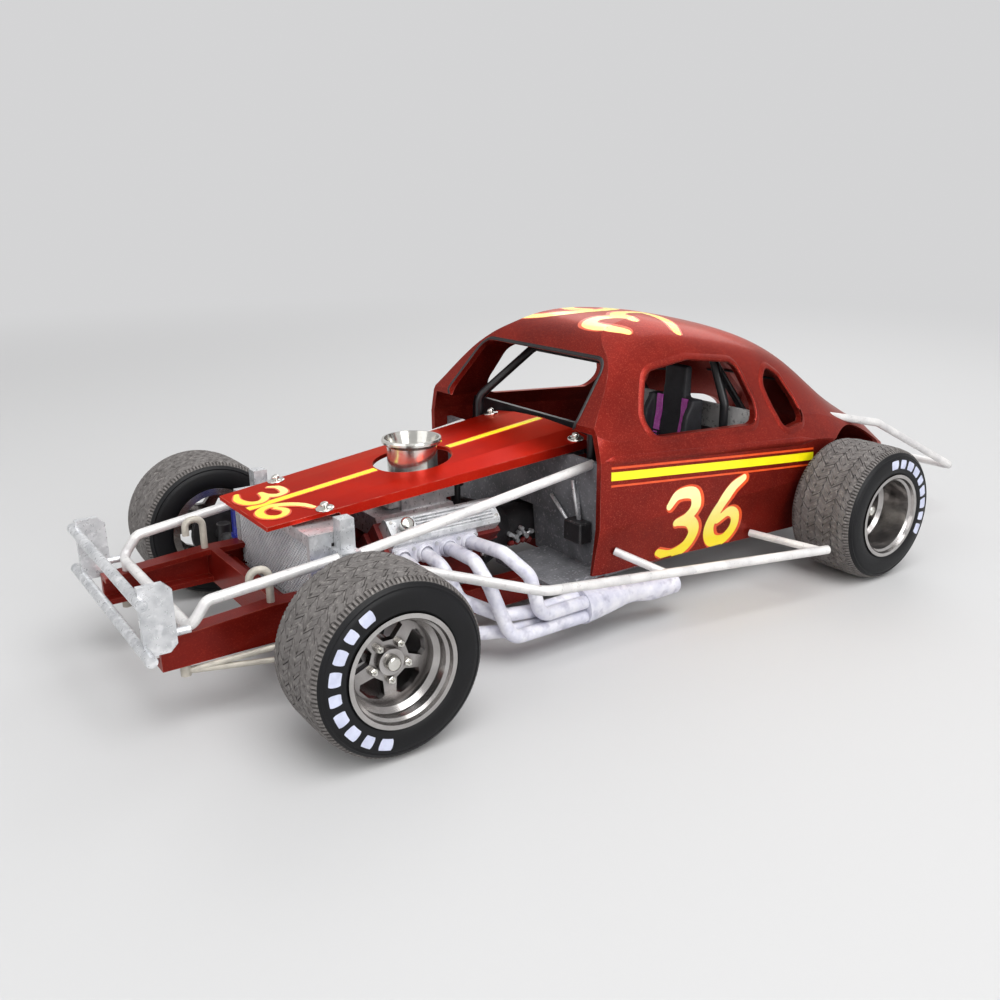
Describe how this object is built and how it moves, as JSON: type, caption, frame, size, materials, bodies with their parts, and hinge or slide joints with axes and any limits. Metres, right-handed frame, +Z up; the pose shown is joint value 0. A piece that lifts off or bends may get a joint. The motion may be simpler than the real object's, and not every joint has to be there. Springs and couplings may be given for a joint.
{
  "type": "scale model of an open-wheel stock car",
  "caption": "Built plastic scale model of a vintage open-wheel stock car: coupe shell, bare engine bay, tube bumpers, side exhausts, slotted wheels, wide tyres.",
  "frame": {"origin": "on the ground under the middle of the model's bounding box", "axes": "+X forward, towards the front bumper; +Y to the car's left; +Z up"},
  "size_m": [0.1856, 0.0852, 0.0513],
  "materials": {
    "candy_red": "gloss",
    "silver_plastic": "satin",
    "bright_plating": "polished",
    "white_silver": "matte",
    "dark_grey": "satin",
    "black_plastic": "satin",
    "rubber_black": "matte",
    "belt_purple": "matte",
    "spring_blue": "satin",
    "pale_plastic": "satin"
  },
  "bodies": {
    "chassis": {"frame": "candy_red", "front_bumper": "silver_plastic", "front_hoop": "silver_plastic", "radiator": "silver_plastic", "radiator_core": "dark_grey", "radiator_brackets": "silver_plastic", "brace_bars": "silver_plastic", "side_bars": "silver_plastic", "rear_bumper": "silver_plastic", "engine_block": "candy_red", "cylinder_heads": "candy_red", "valve_covers": "bright_plating", "engine_mounts": "dark_grey", "intake_manifold": "silver_plastic", "carburettor": "silver_plastic", "velocity_stack": "bright_plating", "front_drive": "dark_grey", "distributor": "black_plastic", "gearbox": "dark_grey", "exhaust_headers": "white_silver", "coupe_body": "candy_red", "floor_pan": "dark_grey", "firewall": "dark_grey", "rear_bulkhead": "dark_grey", "roll_cage": "black_plastic", "seat": "black_plastic", "seat_belts": "belt_purple", "steering_wheel": "black_plastic", "dashboard": "black_plastic", "front_axle": "dark_grey", "front_knuckles": "dark_grey", "radius_rods": "pale_plastic", "front_shocks": "pale_plastic", "front_springs": "spring_blue", "rear_axle": "dark_grey", "drive_shaft": "dark_grey", "rear_links": "dark_grey", "fuel_cell": "black_plastic"},
    "hood": {"hood_panel": "candy_red"},
    "road_wheel_front_left": {"wheel_front_left": "silver_plastic", "tyre_front_left": "rubber_black"},
    "road_wheel_front_right": {"wheel_front_right": "silver_plastic", "tyre_front_right": "rubber_black"},
    "road_wheel_rear_left": {"wheel_rear_left": "silver_plastic", "tyre_rear_left": "rubber_black"},
    "road_wheel_rear_right": {"wheel_rear_right": "silver_plastic", "tyre_rear_right": "rubber_black"}
  },
  "joints": [
    {"name": "spin_front_left", "type": "hinge", "parent": "chassis", "child": "road_wheel_front_left", "pos_m": [0.0654, 0.0355, 0.0131], "axis": [0, 1, 0], "continuous": true},
    {"name": "spin_front_right", "type": "hinge", "parent": "chassis", "child": "road_wheel_front_right", "pos_m": [0.0654, -0.0355, 0.0131], "axis": [0, 1, 0], "continuous": true},
    {"name": "spin_rear_left", "type": "hinge", "parent": "chassis", "child": "road_wheel_rear_left", "pos_m": [-0.0426, 0.0345, 0.0131], "axis": [0, 1, 0], "continuous": true},
    {"name": "spin_rear_right", "type": "hinge", "parent": "chassis", "child": "road_wheel_rear_right", "pos_m": [-0.0426, -0.0345, 0.0131], "axis": [0, 1, 0], "continuous": true},
    {"name": "hood_lift", "type": "slide", "parent": "chassis", "child": "hood", "axis": [0, 0, 1], "range_m": [0, 0.01]}
  ]
}
